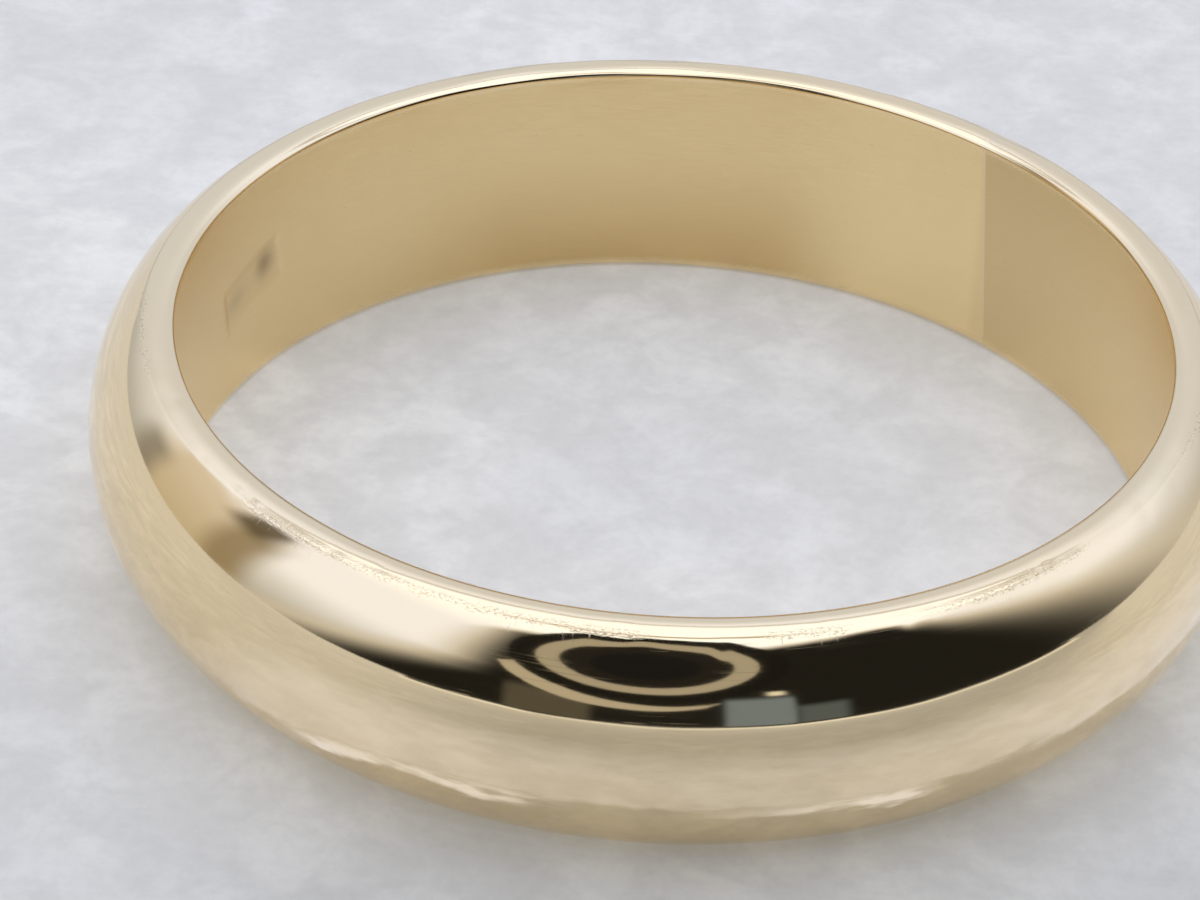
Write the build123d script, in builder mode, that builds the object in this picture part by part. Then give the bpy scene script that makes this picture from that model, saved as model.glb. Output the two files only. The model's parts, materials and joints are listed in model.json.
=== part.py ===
from build123d import *
from math import asin, cos, degrees, radians
import os

# A half-round wedding band lying on its side: the bore runs along Z, the origin is at the
# centre of the edge that it lies on, and the band stands from Z = 0 up to its width.
# All lengths are in millimetres and all angles in degrees, counted from +X towards +Y.

# Driving dimensions
bore_diameter = 16.1
width = 4.0
crown_thickness = 1.4
edge_thickness = 0.45
dome_half_height = 2.4
shoulder_radius = 0.18
inner_edge_radius = 0.12

joint_azimuth = 49.2
joint_slant = -5.5
solder_thickness = 0.08

stamp_azimuth = 154.0
stamp_height = 1.95
stamp_length = 1.7
stamp_width = 0.8
stamp_corner = 0.25
stamp_tilt = -12.0
stamp_depth = 0.03

# Worked out from them
bore_radius = bore_diameter / 2
crown_radius = bore_radius + crown_thickness
mid_radius = (bore_radius + crown_radius) / 2
mid_height = width / 2

# The dome is the crown of an ellipse taller than the strip, cut off at both sides.
dome_angle = degrees(asin(mid_height / dome_half_height))
dome_depth = (crown_thickness - edge_thickness) / (1 - cos(radians(dome_angle)))

radial = Vector(1, 0, 0).rotate(Axis.Z, joint_azimuth)
tangent = Vector(0, 1, 0).rotate(Axis.Z, joint_azimuth)

# The strip's section stands at the joint, where the strip begins and ends.
section_plane = Plane(origin=(0, 0, 0), x_dir=radial, z_dir=radial.cross(Vector(0, 0, 1)))

# The saw cut of the joint leans a little, so its plane is turned about the radius there.
cut_plane = Plane(
    origin=radial * mid_radius + Vector(0, 0, mid_height),
    x_dir=radial,
    z_dir=tangent.rotate(Axis((0, 0, 0), radial), joint_slant),
)

# The stamp faces outwards from inside the bore, and leans a little about that radius.
stamp_facing = Vector(1, 0, 0).rotate(Axis.Z, stamp_azimuth)
stamp_along = Vector(0, 1, 0).rotate(Axis.Z, stamp_azimuth)
stamp_plane = Plane(
    origin=(0, 0, stamp_height),
    x_dir=stamp_along.rotate(Axis((0, 0, 0), stamp_facing), stamp_tilt),
    z_dir=stamp_facing,
)

# The closed ring, before the joint divides it: a low dome outside, a straight wall inside,
# a narrow flat on each side, and rounded corners worn softer outside than inside.
with BuildPart() as ring_blank:
    with BuildSketch(section_plane) as section:
        with BuildLine():
            dome = EllipticalCenterArc(
                (crown_radius - dome_depth, mid_height),
                dome_depth,
                dome_half_height,
                start_angle=-dome_angle,
                arc_size=2 * dome_angle,
            )
            Polyline(dome @ 1, (bore_radius, width), (bore_radius, 0), dome @ 0)
        make_face()
        fillet(section.vertices().group_by(Axis.X)[-1], shoulder_radius)
        fillet(section.vertices().group_by(Axis.X)[0], inner_edge_radius)
    revolve(axis=Axis.Z)

# The gap that the solder fills: a thin leaning slice right through the strip.
with BuildPart() as joint_gap:
    with BuildSketch(cut_plane):
        Rectangle(2 * crown_thickness, 2 * width)
    extrude(amount=solder_thickness / 2, both=True)

# The stamp's blank cartouche, sunk to one depth all over the curved wall.
with BuildPart() as stamp_sinking:
    with BuildSketch(stamp_plane.offset(bore_radius - crown_thickness)):
        RectangleRounded(stamp_length, stamp_width, stamp_corner)
    extrude(amount=2 * crown_thickness)
    Cylinder(bore_radius + stamp_depth, 3 * width, mode=Mode.INTERSECT)

# The band: one strip of half-round gold, bent round until its ends face each other.
with BuildPart() as band:
    add(ring_blank.part)
    add(joint_gap.part, mode=Mode.SUBTRACT)
    add(stamp_sinking.part, mode=Mode.SUBTRACT)

# The solder seam: a thin web of gold solder that joins the two ends, flush all round.
with BuildPart() as solder_seam:
    add(ring_blank.part)
    add(joint_gap.part, mode=Mode.INTERSECT)

band.part.label = "band"
solder_seam.part.label = "solder_seam"

os.makedirs("parts", exist_ok=True)
export_step(band.part, "parts/band.step")
export_step(solder_seam.part, "parts/solder_seam.step")
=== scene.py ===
import json
import math
import bpy
import numpy as np
from mathutils import Matrix, Vector


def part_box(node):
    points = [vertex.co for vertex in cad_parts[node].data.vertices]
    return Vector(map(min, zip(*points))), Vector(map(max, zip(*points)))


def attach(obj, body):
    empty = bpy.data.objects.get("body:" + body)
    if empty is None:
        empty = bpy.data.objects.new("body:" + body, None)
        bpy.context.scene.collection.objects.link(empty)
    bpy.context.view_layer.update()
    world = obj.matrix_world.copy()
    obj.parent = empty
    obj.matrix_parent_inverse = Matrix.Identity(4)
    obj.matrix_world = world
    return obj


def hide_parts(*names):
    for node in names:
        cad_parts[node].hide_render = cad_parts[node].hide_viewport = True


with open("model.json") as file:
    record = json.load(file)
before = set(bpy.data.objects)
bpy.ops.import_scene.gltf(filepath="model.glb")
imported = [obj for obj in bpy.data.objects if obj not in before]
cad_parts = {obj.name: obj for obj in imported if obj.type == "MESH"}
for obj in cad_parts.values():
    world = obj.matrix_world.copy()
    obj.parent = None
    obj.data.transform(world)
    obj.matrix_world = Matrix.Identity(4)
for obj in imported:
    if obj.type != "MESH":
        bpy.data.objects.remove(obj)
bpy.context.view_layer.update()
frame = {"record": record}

# The wedding band's looks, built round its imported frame. Blender works in metres, as the frame does, but
# the shape is worked out in millimetres, because the whole ring is under 20 mm across.
MM = 0.001

# ---------------------------------------------------------------- sizes read from the frame
band_low, band_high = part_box("band")
mounts = {mount["name"]: mount for mount in frame["record"]["mounts"]}
BORE = mounts["finger_bore"]["dims"]["r_mm"]
WIDTH = (band_high.z - band_low.z) / MM
CROWN = round((band_high.x - band_low.x) / 2 / MM, 2)
MID = WIDTH / 2

# The rest of the section, as the CAD has it.
EDGE_THICKNESS = 0.45
DOME_HALF_HEIGHT = 2.4
SHOULDER_RADIUS = 0.18
INNER_RADIUS = 0.12
JOINT_AZIMUTH = math.radians(49.2)
JOINT_SLANT = math.radians(-5.5)
SOLDER_THICKNESS = 0.08
STAMP_AZIMUTH = math.radians(154.0)
STAMP_HEIGHT = 1.95
STAMP_LENGTH = 1.7
STAMP_WIDTH = 0.8
STAMP_TILT = math.radians(-12.0)
STAMP_DEPTH = 0.03

# Worked out from them.
UP = math.pi / 2
FULL_TURN = 2 * math.pi
DOME_ANGLE = math.asin(MID / DOME_HALF_HEIGHT)
DOME_DEPTH = (CROWN - BORE - EDGE_THICKNESS) / (1 - math.cos(DOME_ANGLE))
DOME_CENTRE = CROWN - DOME_DEPTH
GIRTH = FULL_TURN * CROWN

# How many points each stretch of the section has, from the resting edge, up the dome and down the bore.
STEPS = {
    "resting_edge": 4,
    "lower_shoulder": 6,
    "dome": 62,
    "upper_shoulder": 8,
    "upper_edge": 8,
    "upper_inner": 6,
    "bore": 48,
    "lower_inner": 5,
}

# Gold, as linear reflectance at normal incidence.
GOLD = (0.90, 0.742, 0.477)
SOLDER = (0.88, 0.74, 0.52)


# ---------------------------------------------------------------- the section
def rounding(name, r, z, radius, first, last):
    """Part of a circle about (r, z): its points, and the angles of their normals."""
    a = np.linspace(first, last, STEPS[name], endpoint=False)
    return r + radius * np.cos(a), z + radius * np.sin(a), a


def straight(name, r0, z0, r1, z1, angle):
    """A straight stretch whose normal stands at one angle."""
    s = np.linspace(0, 1, STEPS[name], endpoint=False)
    return r0 + (r1 - r0) * s, z0 + (z1 - z0) * s, np.full(STEPS[name], angle)


def dome_normal(t):
    """The angle of the dome's normal, where t is the angle on its ellipse."""
    return np.arctan2(np.sin(t) / DOME_HALF_HEIGHT, np.cos(t) / DOME_DEPTH)


def shoulder_start():
    """The angle on the ellipse where the shoulder's rounding leaves the dome and just meets the flat edge,
    found by halving."""
    low, high = 0.0, DOME_ANGLE
    for _ in range(50):
        t = (low + high) / 2
        reach = MID + DOME_HALF_HEIGHT * math.sin(t) + SHOULDER_RADIUS * (1 - math.sin(dome_normal(t)))
        low, high = (t, high) if reach < WIDTH else (low, t)
    return t


def dome(name, last):
    """The dome's ellipse, as far as this angle each way."""
    t = np.linspace(-last, last, STEPS[name], endpoint=False)
    return DOME_CENTRE + DOME_DEPTH * np.cos(t), MID + DOME_HALF_HEIGHT * np.sin(t), dome_normal(t)


def section():
    """The closed section: its points (radius, height) in mm, their outward normals, the distance along it,
    and where each stretch starts on that distance."""
    t = shoulder_start()
    top = dome_normal(t)
    round_r = DOME_CENTRE + DOME_DEPTH * math.cos(t) - SHOULDER_RADIUS * math.cos(top)
    flat_r = BORE + INNER_RADIUS
    low, high = INNER_RADIUS, WIDTH - INNER_RADIUS
    stretches = [
        straight("resting_edge", flat_r, 0, round_r, 0, -UP),
        rounding("lower_shoulder", round_r, SHOULDER_RADIUS, SHOULDER_RADIUS, -UP, -top),
        dome("dome", t),
        rounding("upper_shoulder", round_r, WIDTH - SHOULDER_RADIUS, SHOULDER_RADIUS, top, UP),
        straight("upper_edge", round_r, WIDTH, flat_r, WIDTH, UP),
        rounding("upper_inner", flat_r, high, INNER_RADIUS, UP, 2 * UP),
        straight("bore", BORE, high, BORE, low, 2 * UP),
        rounding("lower_inner", flat_r, low, INNER_RADIUS, 2 * UP, 3 * UP),
    ]
    r, z, angle = (np.concatenate(values) for values in zip(*stretches))
    step = np.hypot(np.roll(r, -1) - r, np.roll(z, -1) - z)
    along = np.concatenate([[0], np.cumsum(step)])
    firsts = np.cumsum([0, *STEPS.values()])
    return r, z, np.cos(angle), np.sin(angle), along, dict(zip(STEPS, along[firsts]))


R, Z, NORMAL_R, NORMAL_Z, ALONG, START = section()
LOWER_LINE, UPPER_LINE = START["dome"], START["upper_shoulder"]
BORE_START, BORE_END = START["bore"], START["lower_inner"]


# ---------------------------------------------------------------- wear and handwork, as real shape
# Where the shoulders have rubbed on something: azimuth and spread in degrees. Elsewhere they are worn a
# little. Their ragged waves reach this spread in mm from their lines.
WORN_STRETCHES = (
    (-128, 9), (-112, 8), (-103, 5), (-95, 4), (-75, 4), (-52, 9), (-8, 12), (62, 7), (118, 10), (-172, 8),
)
LEAST_WEAR = 0.12
RAGGED_SPREAD = 0.22

# The upper rim is worn round, more so towards the front, and also where its back is rubbed, at these
# azimuths in degrees, each of this reach in radians.
RIM_ROUNDNESS = 0.55
RIM_ROUNDNESS_SWING = 0.25
RUBBED_RIM = (113.0, 93.0, 50.0)
RUBBED_ROUNDNESS = 0.5
RUBBED_REACH = 0.09
RIM_HALF_WIDTH = 0.26
RIM_FADE = 0.1

# Small knocks, on the shoulders and on the dome: how many, their sizes and their depths in mm.
SHOULDER_KNOCKS = (90, (0.05, 0.13), (0.002, 0.006))
SHOULDER_SCATTER = 0.12
DOME_KNOCKS = (40, (0.08, 0.2), (0.0006, 0.0015))
DOME_MARGIN = 0.3

# Each kind of wave: how many are summed, their lengths in mm, their slope, and the seed they are drawn
# from. A wave's height is its length times its slope over the flatness.
DOME_WAVES = (9, (1.6, 5.0), 0.004, 3)
SHOULDER_WAVES = (12, (0.5, 2.2), 0.010, 8)
BORE_WAVES = (8, (2.5, 8.0), 0.02, 5)
WAVE_FLATNESS = 9

# The crease that the joint leaves in the bore, and the notch it leaves on the rim, in mm.
CREASE_DEPTH = 0.030
CREASE_REACH = 0.9
NOTCH_DEPTH = 0.012
NOTCH_SIZE = 0.22
NOTCH_OFFSET = 0.05

# The stamp's worn wall, and its two soft pits: place along and across it, and size, in mm. The dirt is
# what settles on its floor and in the pits, from 0 to 1.
STAMP_WALL = 0.14
ROUND_PIT = (-0.5, 0.05, 0.17)
LONG_PIT = (0.45, -0.02, 0.15)
LONG_PIT_SQUEEZE = 0.6
LONG_PIT_SHARE = 0.35
PIT_DEPTH = 0.03
FLOOR_DIRT, PIT_DIRT = 0.06, 0.50

# How far the bore's own relief takes to set in at its edges, in mm.
BORE_EDGE_FADE = 0.15


def bump(x, y, size):
    """A soft round dip or rise of height 1 at x = y = 0."""
    return np.exp(-(x * x + y * y) / (2 * size * size))


def bell(x, spread):
    """1 at x = 0, dying away over the spread."""
    return np.exp(-((x / spread) ** 2))


def wrap(angle):
    """The angle between minus and plus half a turn."""
    return (angle + math.pi) % FULL_TURN - math.pi


def waves(theta, along, count, lengths, slope, seed):
    """Slow uneven waves left by hand polishing, periodic round the ring. slope is their typical tilt."""
    draw = np.random.default_rng(seed)
    total = np.zeros(np.broadcast(theta, along).shape)
    for _ in range(count):
        length = draw.uniform(*lengths)
        turns = max(1, round(GIRTH / length))
        across = draw.normal(0, 0.45) * FULL_TURN / length
        phase = draw.uniform(0, 6.28)
        total += slope * length / WAVE_FLATNESS * np.sin(turns * theta + across * along + phase)
    return total / math.sqrt(count)


def make_dents():
    """Small knocks, mostly on the shoulders: azimuth, distance along the section, size and depth."""
    rng = np.random.default_rng(14)
    dents = []

    def knock(place, sizes, depths):
        azimuth = rng.uniform(-math.pi, math.pi)
        dents.append((azimuth, place, rng.uniform(*sizes), rng.uniform(*depths)))

    count, *ranges = SHOULDER_KNOCKS
    for _ in range(count):
        knock(rng.choice([LOWER_LINE, UPPER_LINE]) + rng.normal(0, SHOULDER_SCATTER), *ranges)
    count, *ranges = DOME_KNOCKS
    for _ in range(count):
        knock(rng.uniform(LOWER_LINE + DOME_MARGIN, UPPER_LINE - DOME_MARGIN), *ranges)
    return dents


DENTS = make_dents()


def stamp_shape(theta, height):
    """How deep the worn cartouche goes, from 0 to 1, and how deep its two pits are."""
    x = wrap(theta - STAMP_AZIMUTH) * BORE
    y = height - STAMP_HEIGHT
    c, s = math.cos(STAMP_TILT), math.sin(STAMP_TILT)
    x, y = c * x + s * y, c * y - s * x
    inside = np.minimum(STAMP_LENGTH / 2 - np.abs(x), STAMP_WIDTH / 2 - np.abs(y))
    sunk = np.clip(inside / STAMP_WALL + 0.5, 0, 1)
    sunk = sunk * sunk * (3 - 2 * sunk)
    round_x, round_y, round_size = ROUND_PIT
    long_x, long_y, long_size = LONG_PIT
    round_pit = bump(x - round_x, y - round_y, round_size)
    long_pit = bump((x - long_x) * LONG_PIT_SQUEEZE, y - long_y, long_size)
    return sunk, round_pit + LONG_PIT_SHARE * long_pit


def rim_wear(theta, along):
    """How far the upper rim is worn down: rounder towards the front, and flatter at the back but for a few
    rubbed places."""
    roundness = RIM_ROUNDNESS - RIM_ROUNDNESS_SWING * np.sin(theta)
    for azimuth in RUBBED_RIM:
        roundness = roundness + RUBBED_ROUNDNESS * bell(wrap(theta - math.radians(azimuth)), RUBBED_REACH)
    from_middle = along - (START["upper_edge"] + START["upper_inner"]) / 2
    return roundness * from_middle**2 * np.clip((RIM_HALF_WIDTH - np.abs(from_middle)) / RIM_FADE, 0, 1)


def knocks(theta, r, along):
    """How deep the small knocks are."""
    depth_here = np.zeros(theta.shape)
    for azimuth, place, size, depth in DENTS:
        x = wrap(theta - azimuth) * r
        depth_here += np.where(np.abs(x) < 4 * size, depth * bump(x, along - place, size), 0)
    return depth_here


def relief(theta, r, z, along):
    """How far the surface stands out from the plain section, in mm."""
    bore_in = np.clip((along - BORE_START) / BORE_EDGE_FADE, 0, 1)
    on_bore = bore_in * np.clip((BORE_END - along) / BORE_EDGE_FADE, 0, 1)
    on_dome = 1 - on_bore
    on_shoulders = bell(along - UPPER_LINE, RAGGED_SPREAD) + bell(along - LOWER_LINE, RAGGED_SPREAD)
    out = on_dome * waves(theta, along, *DOME_WAVES) - rim_wear(theta, along)
    out += on_shoulders * waves(theta, along, *SHOULDER_WAVES)
    out += on_bore * waves(theta, along, *BORE_WAVES)
    out -= knocks(theta, r, along)
    # The strip's ends stay a little straighter than the rest, which leaves a faint crease at the joint.
    from_joint = wrap(theta - JOINT_AZIMUTH - (z - MID) * math.tan(-JOINT_SLANT) / r) * r
    out -= on_bore * CREASE_DEPTH * np.exp(-np.abs(from_joint) / CREASE_REACH)
    notch = bump(from_joint, along - (START["upper_edge"] + NOTCH_OFFSET), NOTCH_SIZE)
    out -= on_dome * NOTCH_DEPTH * notch
    sunk, pits = stamp_shape(theta, z)
    return out - on_bore * (STAMP_DEPTH * sunk + PIT_DEPTH * pits)


def shoulder_wear(theta):
    """How badly knocked the shoulders are at each azimuth, from 0 to 1."""
    wear = np.full(theta.shape, LEAST_WEAR)
    for azimuth, spread in WORN_STRETCHES:
        wear = wear + bell(wrap(theta - math.radians(azimuth)), math.radians(spread))
    return np.clip(wear, 0, 1)


def stamp_dirt(theta, z, along):
    """How much dirt has settled in the stamp, from 0 to 1."""
    sunk, pits = stamp_shape(theta, z)
    on_bore = (along > BORE_START) & (along < BORE_END)
    return np.where(on_bore, np.clip(FLOOR_DIRT * sunk + PIT_DIRT * pits, 0, 1), 0)


# ---------------------------------------------------------------- the meshes
# How much closer the sections stand over the stamp and the front, and how far that reaches, in radians.
STAMP_CROWDING = (1.6, 0.13)
FRONT_CROWDING = (0.5, 0.5)


def around(first, last, steps):
    """Azimuths from first to last, closer together over the stamp and the front than elsewhere."""
    a = np.linspace(0, 1, 4001)
    theta = JOINT_AZIMUTH + a * FULL_TURN
    density = 1
    for azimuth, (crowding, reach) in ((STAMP_AZIMUTH, STAMP_CROWDING), (-UP, FRONT_CROWDING)):
        density = density + crowding * bell(wrap(theta - azimuth), reach)
    total = np.concatenate([[0], np.cumsum((density[1:] + density[:-1]) / 2)])
    share = np.interp(np.linspace(0, total[-1], steps + 1), total, a)
    return first[None, :] + share[:, None] * (last - first)[None, :]


def joint_side(side):
    """The azimuth of each section point on one face of the joint's slanted slot: side is -1 or 1."""
    lean = (side * SOLDER_THICKNESS / 2 - (Z - MID) * math.sin(JOINT_SLANT)) / (R * math.cos(JOINT_SLANT))
    return JOINT_AZIMUTH + np.arcsin(lean)


def strip_faces(rows, cols):
    """The quads between the rows of a closed section, then a cap at each end."""
    i, j = np.meshgrid(np.arange(rows - 1), np.arange(cols), indexing="ij")
    k = (j + 1) % cols
    quads = np.stack([i * cols + j, (i + 1) * cols + j, (i + 1) * cols + k, i * cols + k], -1)
    first_cap = list(range(cols))
    last_cap = [(rows - 1) * cols + c for c in reversed(range(cols))]
    return quads.reshape(-1, 4).tolist() + [first_cap, last_cap]


def lay_surface_map(mesh, theta):
    """Surface coordinates in mm: round the ring from the joint, and along the section."""
    rows, cols = theta.shape
    round_mm = (theta - JOINT_AZIMUTH) * CROWN
    v0, v1 = ALONG[:-1], ALONG[1:]
    u = np.stack([round_mm[:-1], round_mm[1:], round_mm[1:], round_mm[:-1]], -1).reshape(-1)
    v = np.broadcast_to(np.stack([v0, v0, v1, v1], -1)[None], (rows - 1, cols, 4)).reshape(-1)
    u = np.concatenate([u, round_mm[0], round_mm[-1][::-1]])
    v = np.concatenate([v, v0, v0[::-1]])
    layer = mesh.uv_layers.new(name="surface")
    layer.data.foreach_set("uv", np.stack([u, v], -1).astype(np.float32).ravel())


def keep_on_mesh(mesh, name, values):
    """Store one number a point, for the material to read."""
    layer = mesh.attributes.new(name, "FLOAT", "POINT")
    layer.data.foreach_set("value", values.astype(np.float32).ravel())


def smooth_but_for_caps(mesh, rows, cols):
    """Smooth shading all round, with flat caps and a sharp edge about each."""
    smooth = np.ones(len(mesh.polygons), bool)
    smooth[-2:] = False
    mesh.polygons.foreach_set("use_smooth", smooth)
    pairs = np.empty(len(mesh.edges) * 2, np.int32)
    mesh.edges.foreach_get("vertices", pairs)
    row = pairs.reshape(-1, 2) // cols
    at_end = (row[:, 0] == 0) | (row[:, 0] == rows - 1)
    sharp = mesh.attributes.new("sharp_edge", "BOOLEAN", "EDGE")
    sharp.data.foreach_set("value", (row[:, 0] == row[:, 1]) & at_end)


def link(name, mesh):
    thing = bpy.data.objects.new(name, mesh)
    bpy.context.scene.collection.objects.link(thing)
    return thing


def strip(name, theta):
    """A closed solid whose section runs through the azimuths theta[i, j], with its two ends capped."""
    r, z, along = (np.broadcast_to(values, theta.shape) for values in (R, Z, ALONG[:-1]))
    lift = relief(theta, r, z, along)
    worn_r = r + lift * NORMAL_R
    worn_z = np.maximum(z + lift * NORMAL_Z, 0)
    points = np.stack([worn_r * np.cos(theta), worn_r * np.sin(theta), worn_z], -1).reshape(-1, 3) * MM
    mesh = bpy.data.meshes.new(name)
    mesh.from_pydata(points.tolist(), [], strip_faces(*theta.shape))
    lay_surface_map(mesh, theta)
    keep_on_mesh(mesh, "dirt", stamp_dirt(theta, worn_z, along))
    keep_on_mesh(mesh, "wear", shoulder_wear(theta))
    smooth_but_for_caps(mesh, *theta.shape)
    mesh.update()
    mesh.validate()
    return link(name, mesh)


# ---------------------------------------------------------------- node helpers
def rgba(colour):
    return (*colour, 1.0)


class Nodes:
    """Short calls for building a node tree."""

    def __init__(self, tree):
        self.tree = tree
        tree.nodes.clear()

    def add(self, kind, sockets=None, **settings):
        """A node of this kind, with each socket linked or set."""
        node = self.tree.nodes.new(kind)
        for key, value in settings.items():
            setattr(node, key, value)
        for key, value in (sockets or {}).items():
            if isinstance(value, bpy.types.NodeSocket):
                self.tree.links.new(value, node.inputs[key])
            else:
                node.inputs[key].default_value = value
        return node

    def math(self, operation, a, b=0.0, c=0.0):
        return self.add("ShaderNodeMath", {0: a, 1: b, 2: c}, operation=operation).outputs[0]

    def times(self, first, *factors):
        """The product of all its factors."""
        for factor in factors:
            first = self.math("MULTIPLY", first, factor)
        return first

    def less(self, a, b):
        return self.math("SUBTRACT", a, b)

    def plus_some(self, base, amount, share):
        """The base, with the amount times a constant share added to it."""
        return self.math("MULTIPLY_ADD", amount, share, base)

    def distance(self, a, b):
        return self.math("ABSOLUTE", self.less(a, b))

    def ramp(self, value, low, high, to_low=0.0, to_high=1.0):
        """A smooth rise from one level to the other as the value goes from low to high."""
        sockets = {"Value": value, "From Min": low, "From Max": high, "To Min": to_low, "To Max": to_high}
        return self.add("ShaderNodeMapRange", sockets, interpolation_type="SMOOTHSTEP").outputs[0]

    def fade(self, value, start, end):
        """1 up to the start, falling to 0 at the end."""
        return self.ramp(value, start, end, 1.0, 0.0)

    def window(self, value, rise, fall):
        """Rises from 0 to 1 over the first pair of values, and falls back over the second."""
        return self.times(self.ramp(value, *rise), self.fade(value, *fall))

    def mix(self, factor, a, b):
        return self.add("ShaderNodeMix", {0: factor, 6: a, 7: b}, data_type="RGBA").outputs[2]

    def paint(self, tone, colour, cover):
        """The tone, with a colour over it as far as cover says."""
        return self.mix(cover, tone, rgba(colour))

    def noise(self, vector, scale=1.0, detail=2.0, roughness=0.5, distortion=0.0):
        sockets = {"Vector": vector, "Scale": scale, "Detail": detail}
        sockets |= {"Roughness": roughness, "Distortion": distortion}
        return self.add("ShaderNodeTexNoise", sockets).outputs["Fac"]

    def stretch(self, vector, x, y, turn=0.0, shift=0.0):
        """The place scaled by x and y, turned, and shifted to another part of the noise."""
        sockets = {"Vector": vector, "Scale": (x, y, 1.0)}
        sockets |= {"Rotation": (0, 0, turn), "Location": (shift, shift * 0.7, shift)}
        return self.add("ShaderNodeMapping", sockets).outputs[0]

    def kept(self, name):
        """A number that is kept on the mesh."""
        return self.add("ShaderNodeAttribute", attribute_name=name).outputs["Fac"]

    def azimuth(self, x, y):
        """Degrees from -Y towards +X."""
        return self.math("DEGREES", self.math("ARCTAN2", x, self.times(y, -1.0)))

    def surface(self, shader, output="ShaderNodeOutputMaterial"):
        self.add(output, {"Surface": shader.outputs[0]})


def material(name):
    mat = bpy.data.materials.new(name)
    mat.use_nodes = True
    return mat, Nodes(mat.node_tree)


# ---------------------------------------------------------------- gold
# Each layer of scratches: its turn, a scratch's length and spacing in mm, how rare it is, and an offset.
SCRATCHES = (
    (0.03, 2.8, 0.013, 0.77, 21.0),
    (-0.14, 1.8, 0.014, 0.79, 35.0),
    (0.85, 0.8, 0.018, 0.81, 47.0),
)

# The noises in the gold: cycles per mm round the ring and along the section. Fine streaks are on the dome
# and rim, and satin streaks in the bore. The pits' and nicks' grain is turned by an angle in radians.
FINE_STREAKS = (0.35, 26.0)
SATIN_STREAKS = (1.3, 34.0)
WORN_PATCHES = (0.25, 0.5)
COLOUR_DRIFT = (0.12, 0.3)
LINE_WANDER = (2.2, 0.1)
PIT_GRAIN = (15.0, 28.0)
NICK_GRAIN = (22.0, 2.4)
KNOCK_TURN = 0.3

# How far the worn lines wander and how far they stand in from the shoulders' edges, in mm.
WANDER_REACH = 0.22
LINE_INSET = 0.02

# Roughness: each piece's polish, the satin's range in the bore, and what each kind of wear adds.
BAND_POLISH = 0.045
SEAM_POLISH = 0.09
STREAK_ROUGHNESS = 0.02
SATIN = (0.27, 0.40)
PATCH_ROUGHNESS = 0.015
SCRATCH_ROUGHNESS = 0.06
NICK_ROUGHNESS = 0.24
PIT_ROUGHNESS = 0.10
EDGE_ROUGHNESS = 0.08

# Heights in mm.
DOME_STREAKS = 0.00003
EDGE_STREAKS = 0.0004
SATIN_GRAIN = 0.006
SCRATCH_HEIGHT = -0.00006
NICK_HEIGHT = -0.00015
SHOULDER_PIT_HEIGHT = -0.0022

# Tints, each a multiple of the gold's own colour, and how much of some of them shows.
WARM_DRIFT = (1.0, 0.975, 0.93)
DULL_SATIN, DULL_SHARE = (0.90, 0.88, 0.86), 0.5
# The bore's tints are painted light: a painted bounce of the gold off itself all over, painted shade low
# down at the back, a painted highlight where the strip begins and painted shade where it ends.
BORE_PAINTED_BOUNCE, PAINTED_BOUNCE_SHARE = (1.04, 0.98, 0.81), 0.75
BORE_PAINTED_SHADE = (0.86, 0.76, 0.575)
BORE_PAINTED_HIGHLIGHT, PAINTED_HIGHLIGHT_SHARE = (1.10, 1.08, 0.94), 0.85
BORE_PAINTED_DARK_END, PAINTED_DARK_END_SHARE = (0.84, 0.80, 0.69), 0.8

# Where the bore's painted light and shade rise and fall, in mm round the ring from the joint, or back from
# its end.
PAINTED_SHADE_STRETCH = ((2.5, 5.0), (10.0, 14.0))
PAINTED_HIGHLIGHT_STRETCH = ((0.0, 0.3), (2.0, 5.0))
PAINTED_DARK_END_STRETCH = (5.5, 0.4)
LOW_DOWN = 0.8

# Dirt, as plain colours.
SHOULDER_PIT_BROWN, BROWN_SHARE = (0.30, 0.21, 0.12), 0.60
STAMP_BROWN = (0.20, 0.12, 0.07)


def tinted(colour, tint):
    return tuple(c * k for c, k in zip(colour, tint))


def gold_regions(n, v):
    """Masks for the bore and for the upper edge, by the distance along the section."""
    bore_in = n.ramp(v, BORE_START - 0.06, BORE_START + 0.10)
    bore = n.times(bore_in, n.fade(v, BORE_END - 0.10, BORE_END + 0.06))
    edge_in = n.ramp(v, UPPER_LINE - 0.06, UPPER_LINE + 0.05)
    return bore, n.times(edge_in, n.less(1.0, bore_in))


def gold_scratches(n, place):
    """The rare peaks of a noise drawn out long and thin, in a few directions."""
    scratch = 0.0
    for turn, length, width, rare, where in SCRATCHES:
        lines = n.noise(n.stretch(place, 1 / length, 1 / width, turn=turn, shift=where), detail=0.0)
        scratch = n.math("MAXIMUM", scratch, n.ramp(lines, rare, rare + 0.05))
    return scratch


def gold_knocks(n, place, v):
    """The shoulders' wear, worst in a few stretches: fine pits along their lines, and nicks across them."""
    wear = n.kept("wear")
    wander = n.noise(n.stretch(place, *LINE_WANDER, shift=55.0), detail=2.0)
    here = n.math("ADD", v, n.times(n.less(wander, 0.5), WANDER_REACH))
    from_upper = n.distance(here, UPPER_LINE - LINE_INSET)
    from_lower = n.distance(here, LOWER_LINE + LINE_INSET)
    from_line = n.math("MINIMUM", from_upper, from_lower)
    pit_place = n.stretch(place, *PIT_GRAIN, turn=KNOCK_TURN, shift=63.0)
    pit_noise = n.noise(pit_place, detail=3.0, roughness=0.6)
    pits = n.times(n.ramp(pit_noise, 0.45, 0.75), n.fade(from_line, 0.02, 0.10), n.ramp(wear, 0.2, 0.8))
    nick_noise = n.noise(n.stretch(place, *NICK_GRAIN, turn=KNOCK_TURN, shift=61.0), detail=1.0)
    nicks = n.times(n.ramp(nick_noise, 0.63, 0.75), n.fade(from_line, 0.05, 0.30), n.ramp(wear, 0.2, 0.9))
    return pits, nicks


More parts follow.
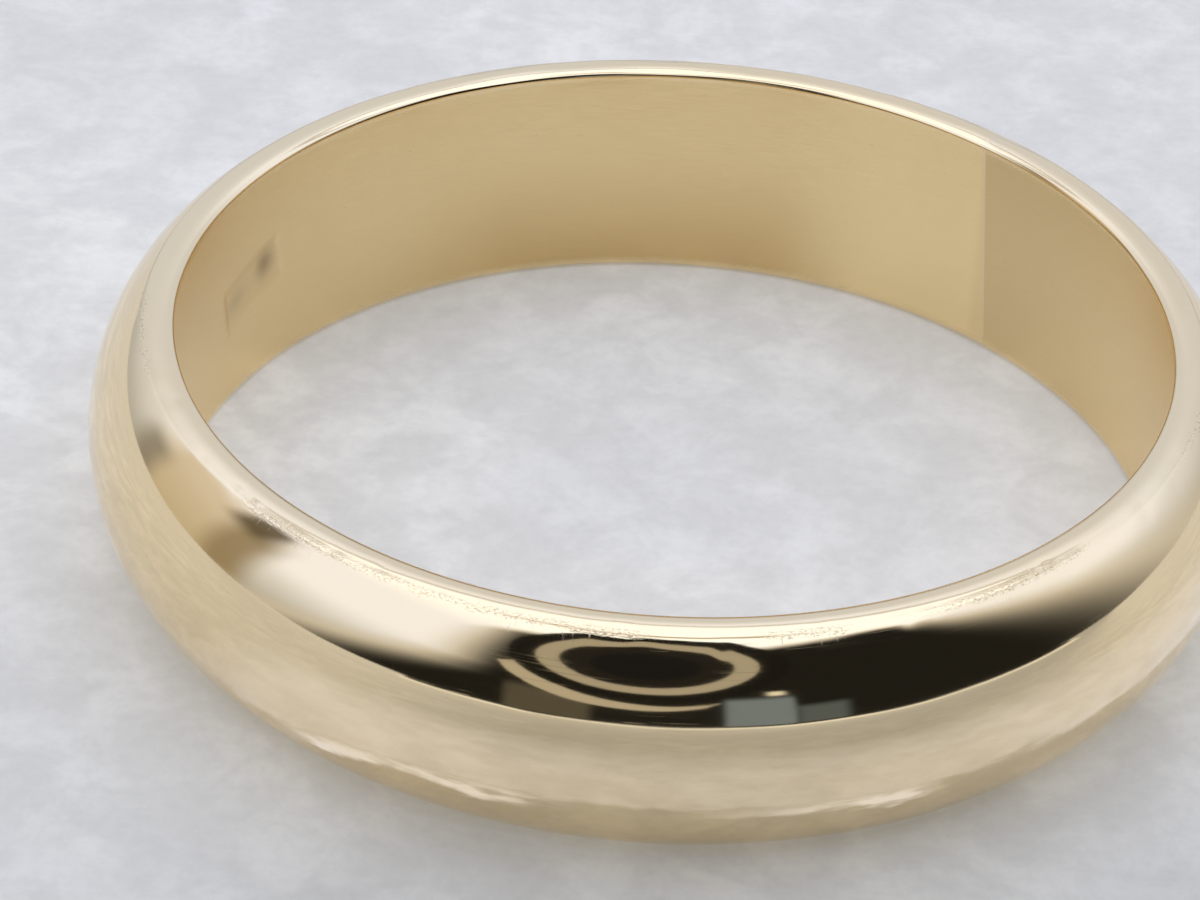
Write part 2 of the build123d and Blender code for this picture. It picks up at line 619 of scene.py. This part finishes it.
def gold_roughness(n, place, marks, polish):
    """A high polish outside and satin inside, streaked and patchy everywhere."""
    patch = n.noise(n.stretch(place, *WORN_PATCHES, shift=11.0), detail=2.0)
    outside = n.ramp(marks["fine"], 0.3, 0.75, polish, polish + STREAK_ROUGHNESS)
    outside = n.math("ADD", outside, n.ramp(patch, 0.45, 0.75, 0.0, PATCH_ROUGHNESS))
    outside = n.plus_some(outside, marks["scratch"], SCRATCH_ROUGHNESS)
    outside = n.plus_some(outside, marks["nicks"], NICK_ROUGHNESS)
    outside = n.plus_some(outside, marks["pits"], PIT_ROUGHNESS)
    outside = n.plus_some(outside, marks["edge"], EDGE_ROUGHNESS)
    inside = n.ramp(marks["satin"], 0.25, 0.75, *SATIN)
    sockets = {0: marks["bore"], 2: outside, 3: inside}
    return n.add("ShaderNodeMix", sockets, data_type="FLOAT").outputs[0]


def gold_bump(n, marks):
    """The normal that streaks, scratches, nicks, pits and the satin's grain leave."""
    streak_height = n.plus_some(DOME_STREAKS, marks["edge"], EDGE_STREAKS)
    height = n.times(n.less(marks["fine"], 0.5), streak_height)
    height = n.plus_some(height, marks["scratch"], SCRATCH_HEIGHT)
    height = n.plus_some(height, marks["nicks"], NICK_HEIGHT)
    height = n.plus_some(height, marks["pits"], SHOULDER_PIT_HEIGHT)
    grain = n.times(n.less(marks["satin"], 0.5), n.times(marks["bore"], SATIN_GRAIN))
    height = n.math("ADD", height, grain)
    return n.add("ShaderNodeBump", {"Height": height, "Strength": 1.0, "Distance": MM}).outputs[0]


def bore_painted_light(n, tone, colour, bore, u, v):
    """Painted light in the bore: a painted bounce of the gold's light off itself makes it look deeper,
    painted shade makes it deepest low down at the back, a painted highlight makes it brightest where the
    strip begins, and painted shade makes it dullest where it ends."""
    tone = n.paint(tone, tinted(colour, BORE_PAINTED_BOUNCE), n.times(bore, PAINTED_BOUNCE_SHARE))
    low_down = n.ramp(v, (BORE_START + BORE_END) / 2 - LOW_DOWN, BORE_END)
    behind = n.window(u, *PAINTED_SHADE_STRETCH)
    tone = n.paint(tone, tinted(colour, BORE_PAINTED_SHADE), n.times(bore, low_down, behind))
    begins = n.window(u, *PAINTED_HIGHLIGHT_STRETCH)
    tone = n.paint(tone, tinted(colour, BORE_PAINTED_HIGHLIGHT), n.times(bore, begins, PAINTED_HIGHLIGHT_SHARE))
    ends = n.ramp(u, *(GIRTH - back for back in PAINTED_DARK_END_STRETCH))
    return n.paint(tone, tinted(colour, BORE_PAINTED_DARK_END), n.times(bore, ends, PAINTED_DARK_END_SHARE))


def gold_tone(n, place, u, v, marks, colour):
    """A faint warm and cool drift, a duller tone where the satin is worn, painted light and shade in the
    bore, and dirt in pits and stamp.
    """
    drift = n.noise(n.stretch(place, *COLOUR_DRIFT, shift=81.0), detail=2.0)
    tone = n.mix(n.ramp(drift, 0.3, 0.7), rgba(colour), rgba(tinted(colour, WARM_DRIFT)))
    worn = n.times(marks["bore"], n.ramp(marks["satin"], 0.35, 0.7, 0.0, DULL_SHARE))
    tone = n.paint(tone, tinted(colour, DULL_SATIN), worn)
    tone = bore_painted_light(n, tone, colour, marks["bore"], u, v)
    tone = n.paint(tone, SHOULDER_PIT_BROWN, n.times(marks["pits"], BROWN_SHARE))
    return n.paint(tone, STAMP_BROWN, n.kept("dirt"))


def gold_material(name, colour, polish):
    """Worn polished gold. Its surface coordinates are millimetres, so each scale is cycles per mm."""
    mat, n = material(name)
    place = n.add("ShaderNodeUVMap", uv_map="surface").outputs[0]
    u, v = n.add("ShaderNodeSeparateXYZ", {0: place}).outputs[:2]
    # Streaks run round the ring: very faint on the polished dome, plain on the rim, coarse in the bore.
    marks = {
        "fine": n.noise(n.stretch(place, *FINE_STREAKS), detail=3.0, roughness=0.6),
        "satin": n.noise(n.stretch(place, *SATIN_STREAKS, shift=3.0), detail=4.0, roughness=0.65),
        "scratch": gold_scratches(n, place),
    }
    marks["bore"], marks["edge"] = gold_regions(n, v)
    marks["pits"], marks["nicks"] = gold_knocks(n, place, v)
    sockets = {
        "Base Color": gold_tone(n, place, u, v, marks, colour),
        "Roughness": gold_roughness(n, place, marks, polish),
        "Normal": gold_bump(n, marks),
        "Metallic": 1.0,
    }
    n.surface(n.add("ShaderNodeBsdfPrincipled", sockets))
    return mat


# ---------------------------------------------------------------- the ring's two pieces
# How many sections each piece is made of, round the ring.
BAND_SECTIONS = 680
SEAM_SECTIONS = 5

after, before = joint_side(1), joint_side(-1)
band = strip("half_round_band", around(after, before + FULL_TURN, BAND_SECTIONS))
seam = strip("solder_web", np.linspace(before, after, SEAM_SECTIONS))

band.data.materials.append(gold_material("gold_worn_polish", GOLD, BAND_POLISH))
seam.data.materials.append(gold_material("gold_solder_polish", SOLDER, SEAM_POLISH))

for piece, node, slot in ((band, "band", "gold"), (seam, "solder_seam", "gold_solder")):
    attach(piece, "root")
    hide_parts(node)


# ---------------------------------------------------------------- floor
FLOOR_HALF = 1.6
FLOOR_DROP = 0.02 * MM

# The board's tones, and how many cycles a metre each noise has.
BOARD_GREY = (0.556, 0.539, 0.494)
BOARD_PALE = (0.613, 0.595, 0.542)
BOARD_CREAM = (0.586, 0.550, 0.471)
BOARD_BLOTCH = (0.448, 0.431, 0.391)
BOARD_GRAIN = (0.358, 0.342, 0.309)
CLOUD_SCALE = 110.0
CREAM_SCALE = 60.0
BLOTCH_SCALE = 620.0
GRAIN_SCALE = 3200.0
BOARD_ROUGHNESS = 0.75
GRAIN_STRENGTH = 0.25
GRAIN_HEIGHT = 0.05 * MM
PAINTED_FILL_GLOW = 0.48

# A painted shadow darkens the board ahead of the ring: how dark, and where that sets in. It is weaker on the
# left, by azimuth in degrees, and weaker again far out.
PAINTED_SHADOW_DEPTH = 0.66
PAINTED_SHADOW_AHEAD = (2.0 * MM, 15.0 * MM)
PAINTED_SHADOW_AZIMUTH, PAINTED_SHADOW_LEFT_SHARE = (-52.0, -10.0), 0.3
PAINTED_SHADOW_FAR, PAINTED_SHADOW_FAR_SHARE = (20.0 * MM, 60.0 * MM), 0.5


def board_mottle(n, place, grain):
    """Soft clouds of grey and cream, with darker blotches and a fine grain."""
    clouds = n.noise(place, scale=CLOUD_SCALE, detail=3.0, roughness=0.55, distortion=0.6)
    cream = n.noise(place, scale=CREAM_SCALE, detail=2.0)
    blotch = n.noise(place, scale=BLOTCH_SCALE, detail=4.0, roughness=0.6, distortion=0.4)
    tone = n.mix(n.ramp(clouds, 0.35, 0.68), rgba(BOARD_GREY), rgba(BOARD_PALE))
    tone = n.paint(tone, BOARD_CREAM, n.ramp(cream, 0.5, 0.75, 0.0, 0.5))
    tone = n.paint(tone, BOARD_BLOTCH, n.ramp(blotch, 0.38, 0.66, 0.50, 0.0))
    return n.paint(tone, BOARD_GRAIN, n.ramp(grain, 0.35, 0.7, 0.0, 0.14))


def board_painted_shadow(n, place):
    """Where the painted shadow darkens the board: just ahead of the ring, more so on its right, and less far
    out.
    """
    x, y, _ = n.add("ShaderNodeSeparateXYZ", {0: place}).outputs
    ahead = n.times(y, -1.0)
    near = n.times(n.ramp(ahead, *PAINTED_SHADOW_AHEAD), n.ramp(n.azimuth(x, y), *PAINTED_SHADOW_AZIMUTH, PAINTED_SHADOW_LEFT_SHARE, 1.0))
    return n.times(near, n.ramp(ahead, *PAINTED_SHADOW_FAR, 1.0, PAINTED_SHADOW_FAR_SHARE))


def board_material():
    mat, n = material("pale_board")
    place = n.add("ShaderNodeTexCoord").outputs["Object"]
    grain = n.noise(place, scale=GRAIN_SCALE, detail=3.0, roughness=0.65)
    tone = board_mottle(n, place, grain)
    # Painted shadow: the board's tone, darkened ahead of the ring.
    shadowed_tone = n.add("ShaderNodeVectorMath", {0: tone, 3: PAINTED_SHADOW_DEPTH}, operation="SCALE").outputs[0]
    tone = n.mix(board_painted_shadow(n, place), tone, shadowed_tone)
    height = {"Height": grain, "Strength": GRAIN_STRENGTH, "Distance": GRAIN_HEIGHT}
    # The board glows with painted fill light, so that it never goes dark right under the ring.
    sockets = {
        "Base Color": tone,
        "Roughness": BOARD_ROUGHNESS,
        "Normal": n.add("ShaderNodeBump", height).outputs[0],
        "Emission Color": tone,
        "Emission Strength": PAINTED_FILL_GLOW,
    }
    n.surface(n.add("ShaderNodeBsdfPrincipled", sockets))
    return mat


def make_floor():
    """A wide pale board, just under the ring."""
    mesh = bpy.data.meshes.new("floor")
    corners = ((-1, -1), (1, -1), (1, 1), (-1, 1))
    mesh.from_pydata([(x * FLOOR_HALF, y * FLOOR_HALF, -FLOOR_DROP) for x, y in corners], [], [(0, 1, 2, 3)])
    mesh.materials.append(board_material())
    link("floor", mesh)


make_floor()

# ---------------------------------------------------------------- camera
# Its distance from the ring's centre in mm, its angles, and its lens and sensor in mm.
CAMERA_DISTANCE = 77.41
CAMERA_ELEVATION = math.radians(34.88)
CAMERA_PAN = math.radians(0.997)
CAMERA_TILT = math.radians(-0.835)
CAMERA_ROLL = math.radians(2.935)
CAMERA_LENS = 139.8
CAMERA_SENSOR = 36.0
CAMERA_CLIP = (0.001, 20.0)


def camera_axes():
    """The camera's place in mm, and its forward, right and up directions."""
    e = CAMERA_ELEVATION
    eye = Vector((0, -CAMERA_DISTANCE * math.cos(e), CAMERA_DISTANCE * math.sin(e)))
    ahead = Vector((0, math.cos(e + CAMERA_TILT), -math.sin(e + CAMERA_TILT)))
    ahead = Matrix.Rotation(CAMERA_PAN, 3, "Z") @ ahead
    right = ahead.cross(Vector((0, 0, 1))).normalized()
    return eye, ahead, right, right.cross(ahead)


def make_camera():
    eye, ahead, right, up = camera_axes()
    turn = Matrix.Rotation(-CAMERA_ROLL, 3, ahead)
    data = bpy.data.cameras.new("camera")
    data.sensor_width = CAMERA_SENSOR
    data.lens = CAMERA_LENS
    data.clip_start, data.clip_end = CAMERA_CLIP
    camera = link("camera", data)
    pose = Matrix((turn @ right, turn @ up, -ahead)).transposed().to_4x4()
    pose.translation = eye * MM
    camera.matrix_world = pose
    bpy.context.scene.camera = camera


make_camera()

# ---------------------------------------------------------------- light
# The tent's light, from its foot up to the panel overhead.
TENT_FOOT = (0.50, 0.53, 0.60)
TENT_WALL = (0.71, 0.77, 0.95)
TENT_SHOULDER = (1.03, 1.14, 1.52)
TENT_SIDES = (1.04, 1.15, 1.53)
TENT_PANEL = (1.30, 1.42, 1.78)
TENT_SEAM = (0.30, 0.25, 0.18)
PANEL_RAIL = (0.42, 0.33, 0.22)

# What stands in the tent and beyond its opening.
FAR_POST = (0.63, 0.55, 0.42)
NEAR_POST = (0.31, 0.26, 0.18)
POST_HEAD = (0.11, 0.09, 0.06)
GREY_THING = (0.22, 0.22, 0.22)
OPENING_HAZE = (0.66, 0.66, 0.69)
OPENING_DARK = (0.015, 0.015, 0.014)
BROWN_THING = (0.105, 0.10, 0.085)
BLUE_CARD = (0.21, 0.27, 0.36)
DIM_CARD = (0.11, 0.14, 0.17)
CARD_GLINT = (0.95, 0.93, 0.88)
BACKDROP = (0.80, 0.81, 0.83)


class Sky:
    """The studio all round, built up in layers. Azimuth runs in degrees from -Y towards +X, and elevation
    up from the horizon."""

    def __init__(self, nodes):
        self.n = nodes
        direction = nodes.add("ShaderNodeTexCoord").outputs["Generated"]
        x, y, z = nodes.add("ShaderNodeSeparateXYZ", {0: direction}).outputs
        self.azimuth = nodes.azimuth(x, y)
        self.elevation = nodes.math("DEGREES", nodes.math("ARCSINE", z))
        self.turned = nodes.math("ABSOLUTE", self.azimuth)
        self.tone = None

    def band(self, value, centre, half, soft):
        """1 within half of the centre, fading to 0 over soft."""
        return self.n.fade(self.n.distance(value, centre), half, half + soft)

    def lay(self, colour, cover):
        self.tone = self.n.paint(self.tone, colour, cover)

    def rise(self, colour, low, high):
        """A colour that takes over as the elevation goes from low to high."""
        self.lay(colour, self.n.ramp(self.elevation, low, high))

    def spot(self, colour, cover, azimuth, elevation):
        """A soft patch. Each way it has a centre, the half width of its core and a soft edge, in degrees."""
        patch = self.n.times(self.band(self.azimuth, *azimuth), self.band(self.elevation, *elevation))
        self.lay(colour, self.n.times(patch, cover))


def lay_tent(sky):
    """Dim behind the ring, brighter and bluer at its sides, brightest overhead, with a seam and a rail."""
    n = sky.n
    sky.tone = n.mix(n.ramp(sky.elevation, -2.0, 14.0), rgba(TENT_FOOT), rgba(TENT_WALL))
    sky.rise(TENT_SHOULDER, 30.0, 48.0)
    sky.lay(TENT_SIDES, n.times(n.fade(sky.turned, 105.0, 150.0), n.ramp(sky.elevation, 9.0, 29.0)))
    sky.rise(TENT_PANEL, 44.0, 60.0)
    seam_line = n.times(sky.band(sky.elevation, 51.0, 1.2, 1.8), n.ramp(sky.turned, 80.0, 95.0))
    sky.lay(TENT_SEAM, n.times(seam_line, 0.75))
    rail = n.times(sky.band(sky.elevation, 75.0, 3.0, 3.0), n.fade(sky.turned, 60.0, 90.0))
    sky.lay(PANEL_RAIL, n.times(rail, 0.8))


def lay_left_side(sky):
    """A tan post with a dark head at the tent's left, and something grey beyond it."""
    sky.spot(FAR_POST, 0.75, azimuth=(-101.0, 10.0, 12.0), elevation=(14.0, 12.0, 18.0))
    sky.spot(NEAR_POST, 0.9, azimuth=(-87.5, 1.5, 8.0), elevation=(12.0, 12.0, 16.0))
    sky.spot(POST_HEAD, 0.92, azimuth=(-92.0, 2.0, 6.5), elevation=(33.5, 3.0, 9.0))
    sky.spot(GREY_THING, 0.75, azimuth=(-116.0, 0.5, 7.0), elevation=(6.0, 5.0, 10.0))


def lay_opening(sky):
    """The dark opening on the camera's side. Both its sides lean out low down, and its top is uneven."""
    n = sky.n

    def leaning(slope, foot):
        """The azimuth of an edge that leans by this slope and meets the horizon at its foot."""
        return n.plus_some(foot, sky.elevation, slope)

    left_start = n.math("MINIMUM", leaning(2.0, -98.0), -50.0)
    left_end = n.math("MINIMUM", leaning(1.3, -48.0), -26.0)
    left = n.ramp(sky.azimuth, left_start, left_end)
    right = n.fade(sky.azimuth, leaning(-0.27, 69.0), leaning(-1.6, 152.0))
    top = n.less(sky.elevation, n.ramp(sky.azimuth, -48.0, -28.0, 0.0, 7.0))
    opening = n.times(left, right, n.fade(top, 44.0, 50.0))
    sky.lay(OPENING_HAZE, n.ramp(opening, 0.0, 0.6))
    sky.lay(OPENING_DARK, n.ramp(opening, 0.38, 1.0))


def lay_things_in_opening(sky):
    """A dull brown thing, and a blue-grey card with a dimmer one beside it and a glint over it."""
    sky.spot(BROWN_THING, 0.9, azimuth=(-18.5, 6.5, 2.5), elevation=(7.0, 6.0, 6.0))
    sky.spot(BLUE_CARD, 0.9, azimuth=(19.5, 5.4, 1.6), elevation=(7.0, 9.0, 4.0))
    sky.spot(DIM_CARD, 0.9, azimuth=(30.5, 3.0, 3.0), elevation=(4.0, 5.0, 4.0))
    sky.spot(CARD_GLINT, 1.0, azimuth=(22.8, 0.6, 1.8), elevation=(20.8, 0.5, 1.6))


def make_world():
    """Soft daylight: a white tent under a bright overhead panel, open and dark on the camera's side."""
    world = bpy.data.worlds.new("studio")
    bpy.context.scene.world = world
    world.use_nodes = True
    n = Nodes(world.node_tree)
    sky = Sky(n)
    lay_tent(sky)
    lay_left_side(sky)
    lay_opening(sky)
    lay_things_in_opening(sky)
    sky.lay(BACKDROP, n.add("ShaderNodeLightPath").outputs["Is Camera Ray"])
    n.surface(n.add("ShaderNodeBackground", {"Color": sky.tone, "Strength": 1.0}), "ShaderNodeOutputWorld")


make_world()

# ---------------------------------------------------------------- painted reflections: glowing sheets that only the gold reflects
# The lens rings, a painted reflection: their outer radii in mm, from the middle out, and their glowing
# colours.
LENS_RINGS = (
    ("lens_glass", 8.4, (0.012, 0.012, 0.014)),
    ("lens_bezel", 13.2, (0.018, 0.017, 0.016)),
    ("lens_ring", 17.3, (0.42, 0.40, 0.36)),
    ("lens_barrel", 22.5, (0.012, 0.012, 0.011)),
)

# Where the lens's middle is from the camera's own place, in mm: ahead, to the right and up.
LENS_PLACE = (20.0, -0.9, 2.6)

# The crescent lies between two circles, each given by its centre from the lens's middle, to the right and
# up, and by its radius, in mm. It stands a little behind the rings.
CRESCENT = (0.50, 0.47, 0.42)
CRESCENT_SPAN = (183, 303)
CRESCENT_INNER = (1.6, -3.7, 20.9)
CRESCENT_OUTER = (-2.2, -5.2, 23.2)
CRESCENT_BEHIND = 0.2

# The painted reflection of the board's front: where its bright edge starts and ends, and where the dark
# ends, in mm from the axis.
BOARD_FRONT_RADII = (88.0, 175.0, 2300.0)
BOARD_FRONT_SPAN = (-134, -12)
PAINTED_BOARD_EDGE = (0.95, 0.96, 0.97)

# The painted pool of light that the dome gathers on the board: its bright line's radius, and how far the
# sheet that carries it reaches inside and outside that, in mm.
POOL_RADIUS = 9.78
POOL_INSIDE = 1.0
POOL_OUTSIDE = 8.5
POOL_SPAN = (-150, 22)
POOL_LIGHT = (0.84, 0.88, 1.06)

# The line curls in on its left: where that starts and how far it runs, in degrees, and mm per square degree.
CURL_START = 18.0
CURL_RUN = 24.0
CURL = -0.0013

# The line's streaks, in cycles per degree and per mm, how far they throw it in mm, and how it fades.
POOL_STREAKS = (0.13, 2.6)
POOL_RAGGEDNESS = 1.1
LINE_FADE = (0.04, 0.38)

# Where the line shows on the left and on the right, and where the glow shows, in degrees.
LINE_LEFT = ((-43.0, -35.0), (-18.0, -6.0))
LINE_RIGHT = ((2.0, 25.0), (27.0, 34.0))
GLOW_SPAN = ((-60.0, -42.0), (80.0, 110.0))
GLOW_FADE = (11.0, 18.0)
GLOW_LEFT, GLOW_MIDDLE, GLOW_RIGHT = 0.6, 0.42, 0.7

# These sheets lie on the board, just over it.
LEVEL = Vector((0, 0, -0.01))
ALONG_X, ALONG_Y = Vector((1, 0, 0)), Vector((0, 1, 0))
ARC_POINTS = 97


def glow(name, colour):
    mat, n = material(name)
    n.surface(n.add("ShaderNodeEmission", {"Color": rgba(colour), "Strength": 1.0}))
    return mat


def circle(centre, right, up, radius):
    """The circle of this radius about the centre: a function from an angle in degrees to a point in mm."""

    def point(angle):
        a = math.radians(angle)
        return centre + (right * math.cos(a) + up * math.sin(a)) * radius

    return point


def arc_sheet(name, inner, outer, span, mat):
    """A flat glowing sheet seen only in the gold, where it paints a reflection; it lies between two circles
    over a span of angles.
    """
    verts, faces = [], []
    for k, angle in enumerate(np.linspace(*span, ARC_POINTS)):
        verts += [inner(angle) * MM, outer(angle) * MM]
        if k:
            faces.append((2 * k - 2, 2 * k - 1, 2 * k + 1, 2 * k))
    mesh = bpy.data.meshes.new(name)
    mesh.from_pydata(verts, [], faces)
    mesh.materials.append(mat)
    sheet = link(name, mesh)
    sheet.visible_camera = False
    sheet.visible_diffuse = False
    sheet.visible_shadow = False


def make_lens():
    """A painted reflection of the camera's own front, which a polished ring always reflects: glowing plain
    rings and a pale crescent, seen only in the gold.
    """
    eye, ahead, right, up = camera_axes()
    far, aside, above = LENS_PLACE
    centre = eye + ahead * far + right * aside + up * above
    inner_radius = 0.0
    for name, radius, colour in LENS_RINGS:
        inner, outer = circle(centre, right, up, inner_radius), circle(centre, right, up, radius)
        arc_sheet(name, inner, outer, (0, 360), glow(name, colour))
        inner_radius = radius
    behind = centre - ahead * CRESCENT_BEHIND
    inner, outer = (
        circle(behind + right * aside + up * above, right, up, radius)
        for aside, above, radius in (CRESCENT_INNER, CRESCENT_OUTER)
    )
    arc_sheet("lens_crescent", inner, outer, CRESCENT_SPAN, glow("lens_crescent", CRESCENT))


def make_painted_board_front():
    """A painted reflection of the board's far front edge, which is bright, and of the dark beyond it."""
    near, edge, far = (circle(LEVEL, ALONG_X, ALONG_Y, radius) for radius in BOARD_FRONT_RADII)
    arc_sheet("board_edge", near, edge, BOARD_FRONT_SPAN, glow("board_edge", PAINTED_BOARD_EDGE))
    arc_sheet("dark_beyond", edge, far, BOARD_FRONT_SPAN, glow("dark_beyond", OPENING_DARK))


def pool_line(n, turned, off, streaks):
    """The bright line at the pool's foot, which is broken and shows on the left and on the right."""
    shown = n.math("MAXIMUM", n.window(turned, *LINE_LEFT), n.window(turned, *LINE_RIGHT))
    line = n.times(n.fade(n.math("ABSOLUTE", off), *LINE_FADE), shown)
    return n.times(line, n.ramp(streaks, 0.30, 0.58, 0.35, 1.05))


def pool_glow(n, place, turned, radius, off):
    """The soft light outside the line, strongest at both ends, with the board's mottling in it."""
    across = n.times(n.ramp(off, 0.0, 0.4), n.fade(radius, *GLOW_FADE))
    front = n.window(turned, *GLOW_SPAN)
    to_left = n.ramp(turned, -30.0, 0.0, GLOW_LEFT, GLOW_MIDDLE)
    to_right = n.ramp(turned, 20.0, 70.0, GLOW_MIDDLE, GLOW_RIGHT)
    mottle = n.ramp(n.noise(place, scale=700.0, detail=4.0, roughness=0.6), 0.35, 0.65, 0.7, 1.1)
    return n.times(across, front, n.math("MAXIMUM", to_left, to_right), mottle)


def gathered_light():
    """Painted light that the ring's dome gathers on the board: a soft glow with a broken bright line at its
    foot.
    """
    mat, n = material("gathered_light")
    place = n.add("ShaderNodeTexCoord").outputs["Object"]
    x, y, _ = n.add("ShaderNodeSeparateXYZ", {0: place}).outputs
    metres = n.math("SQRT", n.math("ADD", n.times(x, x), n.times(y, y)))
    radius = n.math("DIVIDE", metres, MM)
    turned = n.azimuth(x, y)
    polar = n.add("ShaderNodeCombineXYZ", {0: turned, 1: radius}).outputs[0]
    streaks = n.noise(n.stretch(polar, *POOL_STREAKS), detail=3.0, roughness=0.6)
    past = n.math("MINIMUM", n.math("ADD", turned, CURL_START), 0.0)
    curl = n.math("MAXIMUM", past, -CURL_RUN)
    foot = n.plus_some(POOL_RADIUS, n.times(curl, curl), CURL)
    off = n.math("ADD", n.less(radius, foot), n.times(n.less(streaks, 0.5), POOL_RAGGEDNESS))
    line = pool_line(n, turned, off, streaks)
    mask = n.math("MAXIMUM", line, pool_glow(n, place, turned, radius, off))
    shine = n.add("ShaderNodeEmission", {"Color": rgba(POOL_LIGHT), "Strength": 1.0})
    clear = n.add("ShaderNodeBsdfTransparent")
    n.surface(n.add("ShaderNodeMixShader", {0: mask, 1: clear.outputs[0], 2: shine.outputs[0]}))
    return mat


def make_light_pools():
    """Where the painted pool of gathered light lies."""
    inner = circle(LEVEL, ALONG_X, ALONG_Y, POOL_RADIUS - POOL_INSIDE)
    outer = circle(LEVEL, ALONG_X, ALONG_Y, POOL_RADIUS + POOL_OUTSIDE)
    arc_sheet("light_pools", inner, outer, POOL_SPAN, gathered_light())


make_lens()
make_painted_board_front()
make_light_pools()
bpy.context.scene.view_settings.view_transform = "Standard"
